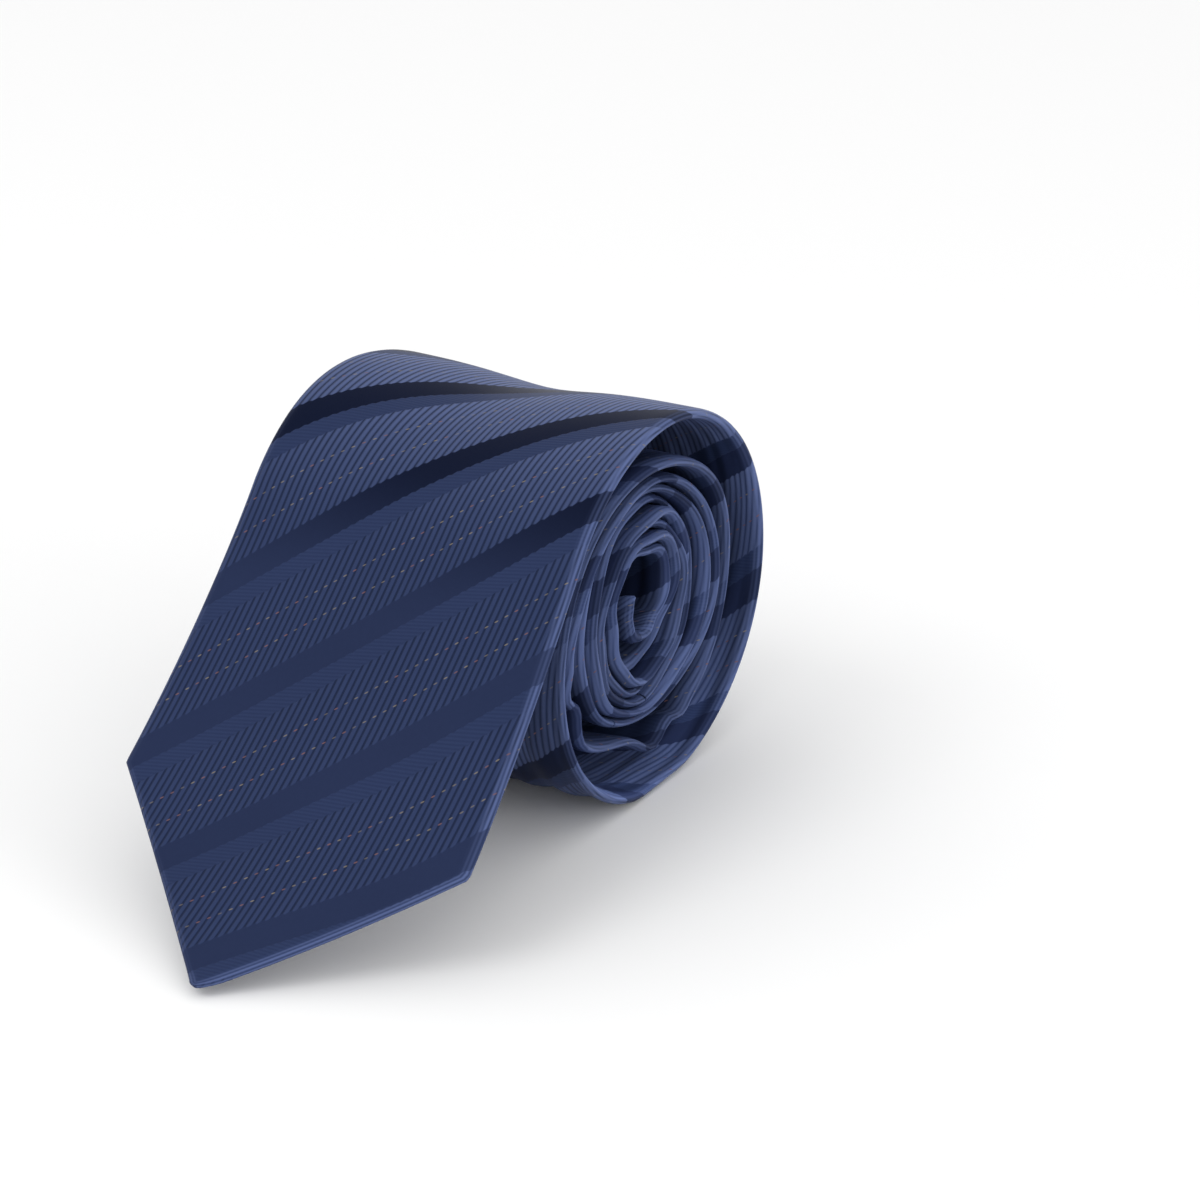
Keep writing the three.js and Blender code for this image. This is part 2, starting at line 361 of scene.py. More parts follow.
    def edge_shift(self, s: Array) -> Array:
        """How far the inner turns' right-hand edges stand in and out of line."""
        inner = smooth(*self.edges_drift, s - self.tie.free_length)
        return inner * (1.5 * np.sin(s / 33.0 + 0.6) + 0.9 * np.sin(s / 13.0) - 0.4)

    def crush(self, x: Array, y: Array, z: Array) -> tuple[Array, Array]:
        """Presses the inner turns together unevenly, all layers alike, so that none runs into the next.

        Args:
            x: Places along the roll.
            y: Places across it.
            z: Heights.

        Returns:
            The pressed Y and Z.
        """
        middle_y, middle_z = self.core
        dy, dz = y - middle_y, z - middle_z
        radius = np.hypot(dy, dz)
        angle = np.arctan2(dy, dz)
        pressed = (1 - smooth(*self.crush_radii, radius)) * smooth(*self.crush_core, radius)
        waves = np.cos(2 * angle - 0.5) + 0.5 * np.cos(3 * angle + 1.0 + x / 19.0)
        waves = waves + 0.3 * smooth(*self.crush_rim, x) * np.cos(7 * angle + x / 7.0 + radius / 4.0)
        wrinkles = smooth(*self.wrinkle_rim, x) * np.sin(x / 1.35 + 2.0 * np.sin(angle + 0.7))
        out = pressed * (self.crush_depth * waves + self.wrinkle * wrinkles)
        size = np.maximum(radius, 0.1)
        return y + dy / size * out, z + dz / size * out

    def place(self, s: Array, x: Array, n: Array) -> Array:
        """Carries flat places onto the roll.

        Args:
            s: Distance along the tie, in millimetres.
            x: Distance across it.
            n: Height over the front silk.

        Returns:
            One row of X, Y and Z for each place, in metres.
        """
        s, x, n = np.broadcast_arrays(np.asarray(s, float), np.asarray(x, float), np.asarray(n, float))
        ahead, behind = s + self.slope_reach, s - self.slope_reach
        dy = np.interp(ahead, self.s, self.y) - np.interp(behind, self.s, self.y)
        dz = np.interp(ahead, self.s, self.z) - np.interp(behind, self.s, self.z)
        size = np.hypot(dy, dz)
        lift = n + self.swell(s, x)
        at_y = np.interp(s, self.s, self.y) - dz / size * lift
        at_z = np.interp(s, self.s, self.z) + dy / size * lift
        at_x = x + self.centreline(s) + self.edge_shift(s)
        at_y, at_z = self.crush(at_x, at_y, at_z)
        return (np.stack([at_x, at_y, at_z], axis=-1) + self.offset) * MM


# Shader work -----------------------------------------------

class Bench:
    """Short ways to wire up shader nodes in one tree."""

    def __init__(self, tree: Tree) -> None:
        """Takes the tree to work in."""
        self.tree = tree

    def node(self, kind: str, **settings: object) -> Node:
        """Adds a node and sets its properties."""
        made = self.tree.nodes.new(kind)
        for name, value in settings.items():
            setattr(made, name, value)
        return made

    def feed(self, socket: Socket, value: object) -> None:
        """Links an output to a socket, or sets the socket to a plain value."""
        if isinstance(value, Socket):
            self.tree.links.new(value, socket)
        else:
            socket.default_value = value

    def math(self, operation: str, a: object, b: object = 0.0, c: object = 0.0) -> Socket:
        """One sum of up to three values."""
        made = self.node("ShaderNodeMath", operation=operation)
        for socket, value in zip(made.inputs, (a, b, c)):
            self.feed(socket, value)
        return made.outputs[0]

    def step(self, low: object, high: object, value: object) -> Socket:
        """The value's eased way from 0 at low to 1 at high."""
        made = self.node("ShaderNodeMapRange", interpolation_type="SMOOTHSTEP")
        for socket, setting in (("Value", value), ("From Min", low), ("From Max", high)):
            self.feed(made.inputs[socket], setting)
        return made.outputs[0]

    def fade(self, low: object, high: object, value: object) -> Socket:
        """The value's eased way from 1 at low to 0 at high."""
        return self.less(1.0, self.step(low, high, value))

    def times(self, a: object, b: object) -> Socket:
        """Two values' product."""
        return self.math("MULTIPLY", a, b)

    def times_plus(self, a: object, b: object, c: object) -> Socket:
        """Two values' product and a third added."""
        return self.math("MULTIPLY_ADD", a, b, c)

    def less(self, a: object, b: object) -> Socket:
        """The first value less the second."""
        return self.math("SUBTRACT", a, b)

    def over(self, a: object, b: object) -> Socket:
        """The first value divided by the second."""
        return self.math("DIVIDE", a, b)

    def zigzag(self, turns: object) -> Socket:
        """Up from 0 to 0.5 and down again, once in each whole turn."""
        return self.math("PINGPONG", turns, 0.5)

    def between(self, kind: str, share: object, a: object, b: object) -> Socket:
        """A share of the way from one value to another, for one kind of value."""
        made = self.node("ShaderNodeMix", data_type=kind)
        for socket, value in (("Factor", share), ("A", a), ("B", b)):
            self.feed(made.inputs[socket], value)
        return made.outputs["Result"]

    def mix(self, share: object, a: object, b: object) -> Socket:
        """A colour between two colours."""
        return self.between("RGBA", share, a, b)

    def blend(self, share: object, a: object, b: object) -> Socket:
        """A number between two numbers."""
        return self.between("FLOAT", share, a, b)

    def vector(self, x: object, y: object) -> Socket:
        """Two values as a flat place."""
        made = self.node("ShaderNodeCombineXYZ")
        self.feed(made.inputs[0], x)
        self.feed(made.inputs[1], y)
        return made.outputs[0]

    def uv(self, name: str) -> Socket:
        """A UV map of the piece."""
        return self.node("ShaderNodeUVMap", uv_map=name).outputs[0]

    def place(self) -> Socket:
        """Places in the piece's own frame."""
        return self.node("ShaderNodeTexCoord").outputs["Object"]

    def parts(self, vector: object) -> bpy.types.NodeOutputs:
        """The three values in a place."""
        made = self.node("ShaderNodeSeparateXYZ")
        self.feed(made.inputs[0], vector)
        return made.outputs

    def brighten(self, colour: object, value: object) -> Socket:
        """A colour made brighter or darker."""
        made = self.node("ShaderNodeHueSaturation")
        self.feed(made.inputs["Value"], value)
        self.feed(made.inputs["Color"], colour)
        return made.outputs[0]

    def relief(self, shader: Node, height: object, strength: float, depth: float) -> None:
        """Gives a shader bumps of a depth in metres."""
        made = self.node("ShaderNodeBump")
        made.inputs["Strength"].default_value = strength
        made.inputs["Distance"].default_value = depth
        self.feed(made.inputs["Height"], height)
        self.feed(shader.inputs["Normal"], made.outputs[0])

    def along(self, x: object, y: object, degrees: float) -> Socket:
        """Distance along a direction that is turned from +x towards +y."""
        turn = math.radians(degrees)
        return self.times_plus(x, math.cos(turn), self.times(y, math.sin(turn)))

    def noise(self, vector: object, scale: float, detail: float = 2.0) -> Socket:
        """Smooth noise from 0 to 1."""
        made = self.node("ShaderNodeTexNoise")
        self.feed(made.inputs["Vector"], vector)
        made.inputs["Scale"].default_value = scale
        made.inputs["Detail"].default_value = detail
        return made.outputs["Fac"]


Colour = tuple[float, float, float, float]


def from_screen(red: int, green: int, blue: int) -> Colour:
    """A linear colour from the 0 to 255 values that a screen shows."""
    linear = [((v / 255 + 0.055) / 1.055) ** 2.4 if v > 10 else v / 255 / 12.92 for v in (red, green, blue)]
    return (linear[0], linear[1], linear[2], 1.0)


def new_group(name: str, inputs: dict[str, str], outputs: dict[str, str]) -> tuple[Tree, Bench, Node, Node]:
    """Starts a shader node group.

    Args:
        name: The group's name.
        inputs: Socket types by input name.
        outputs: Socket types by output name.

    Returns:
        The group's tree, a bench to wire it on, and its input and output nodes.
    """
    tree = bpy.data.node_groups.new(name, "ShaderNodeTree")
    for way, sockets in (("INPUT", inputs), ("OUTPUT", outputs)):
        for socket, kind in sockets.items():
            tree.interface.new_socket(name=socket, in_out=way, socket_type=kind)
    on = Bench(tree)
    return tree, on, on.node("NodeGroupInput"), on.node("NodeGroupOutput")


NUMBER = "NodeSocketFloat"
COLOUR = "NodeSocketColor"
VECTOR = "NodeSocketVector"


@dataclass(frozen=True)
class SilkWeave:
    """The figured weave of the tie's silk with painted highlights and shade, in millimetres and degrees on
    the flat tie.
    """

    stripe_angle: float = 43.0
    repeat: float = 27.2
    first_stripe: float = 8.6
    satin_width: float = 6.0
    reversed_width: float = 4.0
    pin_places: Span = (11.4, 17.2)
    point_pull: Span = (24.0, 88.0)
    # Span along the tie over which the satin goes from its painted highlight into painted shade.
    satin_darkens: Span = (86.0, 126.0)
    # Spans over which the ribs take on a painted sheen over the roll's top and then lose part of it.
    ribs_brighten: Span = (100.0, 166.0)
    ribs_settle: Span = (175.0, 235.0)
    under_starts: Span = (85.0, 125.0)
    inner_starts: Span = (300.0, 380.0)
    # Span of the painted light on the inside of the outer turn.
    glow_starts: Span = (230.0, 275.0)
    glow_ends: Span = (345.0, 385.0)
    shade_starts: Span = (340.0, 400.0)
    # Reach and line pitch of the painted highlight along the folded edges.
    crease_highlight_reach: Span = (1.0, 3.0)
    crease_highlight_pitch: float = 0.95
    stripe_edge: float = 0.16
    pin_pitch: float = 2.34
    pin_length: float = 1.0
    pin_height: float = 0.34
    rib_pitch: float = 1.41
    rib_lean: float = 4.0
    pick_pitch: float = 0.36
    pick_rise: float = 24.0
    fine_pitch: float = 0.8
    fine_rise: float = 10.0
    float_pitch: float = 0.33
    # Width and length of the painted light and shade streaks inside the roll.
    shading_streak_width: float = 3.6
    shading_streak_length: float = 60.0
    # Satin in painted shade over the roll's top, then satin with a painted highlight near the point.
    satin_shaded_colour: Colour = from_screen(16, 22, 42)
    satin_lit_colour: Colour = from_screen(37, 46, 74)
    satin_rolled_colour: Colour = from_screen(32, 40, 67)
    # Colour of the painted highlight along the folded edges.
    crease_highlight_colour: Colour = from_screen(92, 106, 150)
    rib_colour: Colour = from_screen(45, 56, 88)
    # Ribs with a painted sheen, over the roll's top.
    rib_sheen_colour: Colour = from_screen(89, 102, 142)
    groove_colour: Colour = from_screen(27, 36, 61)
    reversed_colour: Colour = from_screen(42, 53, 84)
    reversed_shade: Colour = from_screen(37, 47, 77)
    pin_colour: Colour = from_screen(134, 124, 104)
    pin_odd_colour: Colour = from_screen(112, 82, 82)

    def group(self) -> Tree:
        """The weave as a node group that reads the cloth's own flat coordinates."""
        outputs = {"Color": COLOUR, "Satin": NUMBER, "Height": NUMBER}
        tree, on, source, sink = new_group("silk weave", {"Cloth": VECTOR, "Fold": VECTOR}, outputs)
        cloth = on.parts(source.outputs["Cloth"])
        x = on.times(cloth[0], 1000.0)
        true_s = on.times(cloth[1], 1000.0)
        pull = on.times_plus(on.step(-4.0, 40.0, x), 5.0, 1.6)
        near_point = on.fade(*self.point_pull, true_s)
        s = on.math("ADD", true_s, on.times(pull, near_point))

        across = on.along(s, on.times(x, -1.0), self.stripe_angle)
        along = on.along(x, s, self.stripe_angle)
        lean = on.along(x, on.times(s, -1.0), self.rib_lean)
        rib = on.math("FRACT", on.over(lean, self.rib_pitch))
        tooth = on.zigzag(rib)
        start = self.first_stripe - self.satin_width / 2
        shifted = on.times_plus(tooth, 0.7, on.less(across, start + 0.17))
        place = on.math("WRAP", shifted, self.repeat, 0.0)

        edge, turned_from = self.stripe_edge, self.repeat - self.reversed_width
        satin_top = on.fade(self.satin_width - edge, self.satin_width + edge, place)
        satin = on.times(satin_top, on.step(-edge, edge, place))
        turned = on.step(turned_from - edge, turned_from + edge, place)

        cord = on.math("SINE", on.times(rib, math.pi))
        pick = on.zigzag(on.over(on.along(s, x, self.pick_rise), self.pick_pitch))
        cord_height = on.times_plus(pick, 0.25, on.math("POWER", cord, 0.8))
        fine = on.along(s, on.times(x, -1.0), self.fine_rise)
        fine_wave = on.zigzag(on.over(fine, self.fine_pitch))
        float_wave = on.zigzag(on.over(lean, self.float_pitch))

        fold = on.parts(source.outputs["Fold"])
        from_fold = on.times(fold[0], 1000.0)
        under = on.times(fold[1], on.step(*self.under_starts, true_s))
        rolled = on.math("MAXIMUM", under, on.step(*self.inner_starts, true_s))
        shown = on.mix(on.times(rolled, 0.7), self.groove_colour, self.rib_colour)
        rib_colour = on.mix(on.step(0.25, 0.85, cord), shown, self.rib_colour)
        # Painted sheen on the ribs over the roll's top, weaker again further in.
        top_sheen = on.step(*self.ribs_brighten, true_s)
        top_sheen = on.times_plus(on.step(*self.ribs_settle, true_s), -0.6, top_sheen)
        rib_colour = on.mix(on.times(top_sheen, cord), rib_colour, self.rib_sheen_colour)
        fine_colour = on.mix(on.times(fine_wave, 2.0), self.reversed_shade, self.reversed_colour)
        colour = on.mix(turned, rib_colour, fine_colour)
        # Satin with a painted highlight near the point and painted shade over the roll's top.
        satin_shaded_colour = on.mix(on.step(*self.satin_darkens, true_s), self.satin_lit_colour, self.satin_shaded_colour)
        satin_shaded_colour = on.mix(rolled, satin_shaded_colour, self.satin_rolled_colour)
        colour = on.mix(satin, colour, satin_shaded_colour)

        # Painted light and shade in soft streaks along the inner turns, as from soft folds.
        long = on.vector(on.over(x, self.shading_streak_width), on.over(true_s, self.shading_streak_length))
        shading_streak = on.step(0.36, 0.66, on.noise(long, 1.0, 1.0))
        shading_streak = on.times_plus(on.less(shading_streak, 0.42), on.times(rolled, 0.8), 1.0)
        # Painted light on the cloth turned under in the outer turn.
        first_turn = on.fade(*self.glow_ends, true_s)
        glow = on.times(on.step(*self.glow_starts, true_s), on.times(first_turn, under))
        # Painted shade on the inner turns away from their folded edges; then all the painted light and shade
        # are put on the colour.
        deep = on.times(on.step(1.2, 6.5, from_fold), on.step(*self.shade_starts, true_s))
        lit = on.times_plus(glow, 0.9, on.times_plus(deep, -0.56, 1.0))
        colour = on.brighten(colour, on.times(shading_streak, lit))

        # Pressed rib lines along each folded edge, drawn lighter as a painted highlight: stronger on the
        # right-hand edges, weaker on satin and inside the roll.
        line = on.math("COSINE", on.times(from_fold, 2 * math.pi / self.crease_highlight_pitch))
        line = on.times_plus(line, 0.5, 0.5)
        crease_highlight = on.fade(*self.crease_highlight_reach, from_fold)
        right = on.step(-5.0, 5.0, x)
        fading = ((line, 0.55, 0.15), (satin, -0.6, 1.0), (right, 0.7, 0.3), (rolled, -0.25, 1.0))
        for what, gain, base in fading:
            crease_highlight = on.times(crease_highlight, on.times_plus(what, gain, base))
        colour = on.mix(crease_highlight, colour, self.crease_highlight_colour)

        height = on.blend(turned, cord_height, on.times_plus(fine_wave, 0.36, 0.4))
        height = on.blend(satin, height, on.times_plus(float_wave, 0.16, 0.45))
        height = on.blend(on.times(rolled, 0.7), height, 0.5)

        cell = on.over(along, self.pin_pitch)
        run = on.times(on.less(on.math("FRACT", cell), 0.5), 2 * self.pin_pitch / self.pin_length)
        number = on.node("ShaderNodeTexWhiteNoise", noise_dimensions="1D")
        on.feed(number.inputs["W"], on.math("FLOOR", cell))
        level = on.math("WRAP", on.less(across, start), self.repeat, 0.0)
        pins = None
        for middle in self.pin_places:
            away = on.times(on.less(level, middle), 2 / self.pin_height)
            far = on.math("SQRT", on.math("ADD", on.times(run, run), on.times(away, away)))
            pin = on.fade(0.6, 1.15, far)
            pins = pin if pins is None else on.math("MAXIMUM", pins, pin)
        odd = on.math("GREATER_THAN", number.outputs["Value"], 0.6)
        strength = on.times_plus(number.outputs["Value"], 0.6, 0.3)
        pin_colour = on.mix(odd, self.pin_colour, self.pin_odd_colour)
        colour = on.mix(on.times(pins, strength), colour, pin_colour)

        on.feed(sink.inputs["Color"], colour)
        on.feed(sink.inputs["Satin"], satin)
        on.feed(sink.inputs["Height"], height)
        return tree


def cloth_wear() -> Tree:
    """Slow changes of tone, slubs and lint that every cloth here shares."""
    tree, on, source, sink = new_group(
        "cloth wear",
        {"Place": VECTOR, "Color": COLOUR, "Amount": NUMBER},
        {"Color": COLOUR, "Roughness Shift": NUMBER},
    )
    slow = on.noise(source.outputs["Place"], 28.0, 3.0)
    quick = on.noise(source.outputs["Place"], 900.0, 2.0)
    tone = on.math("ADD", on.times(slow, 0.7), on.times(quick, 0.3))
    shift = on.times(on.less(tone, 0.5), source.outputs["Amount"])
    on.feed(sink.inputs["Color"], on.brighten(source.outputs["Color"], on.math("ADD", shift, 1.0)))
    on.feed(sink.inputs["Roughness Shift"], on.times(shift, 0.4))
    return tree


def plain_weave() -> Tree:
    """Threads that pass over and under each other, one by one."""
    tree, on, source, sink = new_group(
        "plain weave",
        {"Cloth": VECTOR, "Pitch": NUMBER, "Thread": COLOUR, "Gap": COLOUR},
        {"Color": COLOUR, "Height": NUMBER},
    )
    cloth = on.parts(source.outputs["Cloth"])
    waves = []
    for axis in (0, 1):
        turns = on.over(on.times(cloth[axis], 1000.0), source.outputs["Pitch"])
        waves.append(on.math("SINE", on.times(turns, 2 * math.pi)))
    weave = on.times_plus(on.times(waves[0], waves[1]), 0.5, 0.5)
    on.feed(sink.inputs["Color"], on.mix(weave, source.outputs["Gap"], source.outputs["Thread"]))
    on.feed(sink.inputs["Height"], weave)
    return tree


@dataclass
class Finishes:
    """Every material of the tie, built once."""

    weave: SilkWeave = field(default_factory=SilkWeave)
    wear: Tree = field(init=False)
    plain: Tree = field(init=False)
    silk: Material = field(init=False)
    lining: Material = field(init=False)
    canvas: Material = field(init=False)
    thread: Material = field(init=False)

    def __post_init__(self) -> None:
        """Builds the shared groups and the materials that use them."""
        self.wear = cloth_wear()
        self.plain = plain_weave()
        self.silk = self.make_silk()
        lining_colours = from_screen(42, 50, 88), from_screen(26, 31, 60)
        canvas_colours = from_screen(214, 206, 188), from_screen(150, 142, 124)
        self.lining = self.make_woven("tipping lining", 0.3, *lining_colours, 0.42)
        self.canvas = self.make_woven("wool canvas", 0.8, *canvas_colours, 0.9)
        self.thread = self.make_thread()

    def start(self, name: str) -> tuple[Material, Bench, Node]:
        """A new material with its bench and its shader."""
        material = bpy.data.materials.new(name)
        material.use_nodes = True
        bench = Bench(material.node_tree)
        return material, bench, material.node_tree.nodes["Principled BSDF"]

    def cover(self, on: Bench, shader: Node, colour: object, wear_amount: float, rough: object) -> None:
        """Puts a colour and a roughness on a shader, both under the shared wear.

        Args:
            on: The bench of the shader's material.
            shader: The shader.
            colour: The colour, or the socket that gives it.
            wear_amount: How far the wear changes the tone.
            rough: The roughness, or the socket that gives it.
        """
        wear = on.node("ShaderNodeGroup", node_tree=self.wear)
        for socket, value in (("Place", on.place()), ("Color", colour), ("Amount", wear_amount)):
            on.feed(wear.inputs[socket], value)
        on.feed(shader.inputs["Base Color"], wear.outputs["Color"])
        on.feed(shader.inputs["Roughness"], on.math("ADD", rough, wear.outputs["Roughness Shift"]))

    def make_silk(self) -> Material:
        """Figured silk: ribs, a reversed twill band, dark satin stripes and pin dots, with painted highlights
        and shade.
        """
        material, on, shader = self.start("figured silk")
        weave = on.node("ShaderNodeGroup", node_tree=self.weave.group())
        for name in ("Cloth", "Fold"):
            on.feed(weave.inputs[name], on.uv(name))
        satin = weave.outputs["Satin"]
        self.cover(on, shader, weave.outputs["Color"], 0.25, on.blend(satin, 0.46, 0.36))
        on.relief(shader, weave.outputs["Height"], 0.55, 0.2 * MM)
        for socket, value in (
            ("Specular IOR Level", on.blend(satin, 0.07, 0.025)),
            ("Specular Tint", from_screen(150, 172, 240)),
            ("Sheen Weight", 0.06),
            ("Sheen Roughness", 0.3),
            ("Sheen Tint", from_screen(120, 142, 215)),
        ):
            on.feed(shader.inputs[socket], value)
        return material

    def make_woven(self, name: str, pitch: float, thread: Colour, gap: Colour, rough: float) -> Material:
        """A plain woven cloth.

        Args:
            name: The material's name.
            pitch: Two threads' width, in millimetres.
            thread: Colour of the raised threads.
            gap: Colour between them.
            rough: Roughness.

        Returns:
            The material.
        """
        material, on, shader = self.start(name)
        weave = on.node("ShaderNodeGroup", node_tree=self.plain)
        for socket, value in (("Cloth", on.uv("Cloth")), ("Pitch", pitch), ("Thread", thread), ("Gap", gap)):
            on.feed(weave.inputs[socket], value)
        self.cover(on, shader, weave.outputs["Color"], 0.3, rough)
        on.relief(shader, weave.outputs["Height"], 0.4, 0.1 * MM)
        return material

    def make_thread(self) -> Material:
        """Sewing thread with its twist."""
        material, on, shader = self.start("sewing thread")
        twist = on.noise(on.place(), 3000.0, 1.0)
        colour = on.mix(twist, from_screen(30, 36, 70), from_screen(60, 70, 115))
        self.cover(on, shader, colour, 0.2, 0.55)
        on.relief(shader, twist, 0.3, 0.1 * MM)
        return material


# Cloth pieces ----------------------------------------------

class Body(Enum):
    """The bodies that pieces ride on."""

    ROLL = "roll"
    BLADE = "loose_blade"


FAR_FROM_FOLD = 1.0


def mesh_from_grid(name: str, points: Array, cloth: Array, fold: Array | None = None) -> Piece:
    """Makes a sheet from rows of points, with its flat coordinates as a UV map.

    Args:
        name: The piece's name.
        points: Rows, columns and X, Y, Z in metres.
        cloth: Rows, columns and the two flat coordinates in metres.
        fold: Rows, columns and the distance from the nearest folded edge in metres, then 1 on the cloth
            turned under; far from a fold if not given.

    Returns:
        The new object, at the origin.
    """
    rows, columns = points.shape[:2]
    index = np.arange(rows * columns).reshape(rows, columns)
    quads = np.stack([index[:-1, :-1], index[:-1, 1:], index[1:, 1:], index[1:, :-1]], axis=-1).reshape(-1, 4)
    mesh = bpy.data.meshes.new(name)
    mesh.from_pydata(points.reshape(-1, 3).tolist(), [], quads.tolist())
    away = np.tile([FAR_FROM_FOLD, 0.0], (rows, columns, 1))
    for title, values in (("Cloth", cloth), ("Fold", away if fold is None else fold)):
        layer = mesh.uv_layers.new(name=title)
        layer.data.foreach_set("uv", values.reshape(-1, 2)[quads.reshape(-1)].astype(np.float32).reshape(-1))
    made = bpy.data.objects.new(name, mesh)
    bpy.context.scene.collection.objects.link(made)
    return made


def only(piece: Piece) -> None:
    """Selects one piece and makes it active."""
    bpy.ops.object.select_all(action="DESELECT")
    piece.select_set(True)
    bpy.context.view_layer.objects.active = piece


def dress(piece: Piece, thickness: float, offset: float, finish: Material,
          nodes: tuple[str, ...]) -> None:
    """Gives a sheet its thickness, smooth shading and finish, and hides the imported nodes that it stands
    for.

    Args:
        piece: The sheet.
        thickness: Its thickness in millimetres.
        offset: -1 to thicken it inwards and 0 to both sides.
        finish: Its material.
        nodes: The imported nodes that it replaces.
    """
    only(piece)
    wall = piece.modifiers.new("Thickness", "SOLIDIFY")
    wall.thickness = thickness * MM
    wall.offset = offset
    wall.use_even_offset = False
    bpy.ops.object.modifier_apply(modifier=wall.name)
    bpy.ops.object.shade_smooth_by_angle(angle=math.radians(50))
    piece.data.materials.append(finish)
    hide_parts(*nodes)
    LOG.info("%s: %d faces", piece.name, len(piece.data.polygons))


def lay_sheet(name: str, roll: Roll, s: Array, x: Array, n: Array, u: Array,
              fold: Array | None = None) -> tuple[Piece, Array]:
    """Makes a sheet on the roll.

    Args:
        name: The piece's name.
        roll: The roll that it lies on.
        s: Each row's place along the tie.
        x: Rows and columns of places across it.
        n: Rows and columns of heights.
        u: Rows and columns of distances along the cloth itself.
        fold: As mesh_from_grid has it.

    Returns:
        The sheet and its flat coordinates.
    """
    along = np.repeat(s[:, None], x.shape[1], axis=1)
    cloth = np.stack([u, along], axis=-1) * MM
    return mesh_from_grid(name, roll.place(along, x, n), cloth, fold), cloth


@dataclass
class SilkShell:
    """One piece of silk, folded round the canvas: front, two soft edges and two back flaps."""

    name: str
    roll: Roll
    start: float
    end: float
    nodes: tuple[str, ...]
    finish: Material
    step: float = 2.2
    edge_width: float = 2.6
    edge_share: float = 0.85
    point_depth: float = 0.35
    full_depth_at: float = 6.0
    front_columns: int = 42
    edge_columns: int = 8
    flap_columns: int = 12
    overlap: float = 5.0
    flap_gap: float = 0.4
    flap_lift: float = 0.5
    flap_lift_over: Span = (7.5, 3.0)
    least_flap: float = 0.3
    least_step: float = 0.3

    def stations(self) -> Array:
        """Places along the tie, closer together round the points."""
        tie = self.roll.tie
        even = np.arange(self.start, self.end, self.step)
        cut_back = tie.point_round * 0.414
        near = np.concatenate([[0.1, 0.35, 0.7, 1.1, 1.6], np.arange(2.2, 60, 1.1)])
        marks = np.concatenate([even, near + cut_back, tie.length - near - cut_back])
        inside = marks[(marks > self.start + 0.05) & (marks < self.end - 0.05)]
        low = max(self.start, cut_back + 0.05)
        high = min(self.end, tie.length - cut_back - 0.05)
        inside = inside[(inside > low + 0.05) & (inside < high - 0.05)]
        ordered = np.unique(np.round(np.concatenate([[low], inside, [high]]), 3))
        keep = np.concatenate([[True], np.diff(ordered) > self.least_step])
        keep[-1] = True
        return ordered[keep]

    def flap_edge(self, s: Array, side: int) -> Array:
        """Distance from the centreline to a flap's edge; below nought where the flaps lap over."""
        tie = self.roll.tie
        half = tie.half_width(s, side)
        hemmed = half - tie.hem * math.sqrt(2)
        blade_close = np.interp(s, [tie.blade_point, tie.blade_flaps_meet], [tie.blade_width, self.flap_gap])
        tail_marks = [tie.tail_flaps_meet, tie.length - tie.tail_point]
        tail_close = np.interp(s, tail_marks, [self.flap_gap, tie.tail_width])
        opening = np.minimum(hemmed, np.where(s < tie.length / 2, blade_close, tail_close))
        return np.maximum(opening, self.flap_gap) - self.overlap * tie.flap_lap(s)

    def sections(self, s: Array) -> tuple[Array, Array, Array, Array]:
        """Places across, heights, distances along the silk and places from its folds, at each station."""
        tie = self.roll.tie
        depth = tie.thickness / 2
        sides = []
        for side in (-1, 1):
            half = tie.half_width(s, side)[:, None]
            soft = np.minimum(self.edge_width, half * self.edge_share)
            deep = depth * np.minimum(1.0, self.point_depth + half / self.full_depth_at)
            turn = np.linspace(math.pi / 2, -math.pi / 2, self.edge_columns + 1)[None, :]
            edge_x = half - soft + soft * np.cos(turn)
            edge_n = -deep + deep * np.sin(turn)
            share = np.linspace(0, 1, self.flap_columns + 1)[None, 1:]
            inside = half - soft
            flap = np.minimum(self.flap_edge(s, side)[:, None], inside - self.least_flap)
            flap_x = inside + (flap - inside) * share
            closed = smooth(self.flap_gap, -self.overlap, flap)
            lifted = self.flap_lift * closed * smooth(*self.flap_lift_over, flap_x) if side < 0 else 0.0
            flap_n = -2 * deep - lifted + 0 * flap_x
            out_x = np.concatenate([edge_x, flap_x], axis=1)
            out_n = np.concatenate([edge_n, flap_n], axis=1)
            sides.append((out_x * side, out_n))
        share = np.linspace(0, 1, self.front_columns + 1)[None, 1:-1]
        left_x, right_x = sides[0][0][:, :1], sides[1][0][:, :1]
        front_x = left_x + (right_x - left_x) * share
        x = np.concatenate([sides[0][0][:, ::-1], front_x, sides[1][0]], axis=1)
        n = np.concatenate([sides[0][1][:, ::-1], 0 * front_x, sides[1][1]], axis=1)
        step = np.hypot(np.diff(x, axis=1), np.diff(n, axis=1))
        run = np.concatenate([np.zeros((len(s), 1)), np.cumsum(step, axis=1)], axis=1)
        first = self.flap_columns + self.edge_columns
        left = self.flap_columns + self.edge_columns // 2
        right = run.shape[1] - 1 - left
        away = np.minimum(np.abs(run - run[:, left:left + 1]), np.abs(run - run[:, right:right + 1]))
        under = (run < run[:, left:left + 1]) | (run > run[:, right:right + 1])
        fold = np.stack([away * MM, under.astype(float)], axis=-1)
        return x, n, run - run[:, first:first + 1] + x[:, first:first + 1], fold

    def build(self) -> Piece:
        """Builds the folded silk on the roll."""
        s = self.stations()
        x, n, u, fold = self.sections(s)
        piece, cloth = lay_sheet(self.name, self.roll, s, x, n, u, fold)
        dress(piece, self.roll.tie.silk, -1.0, self.finish, self.nodes)
        return piece


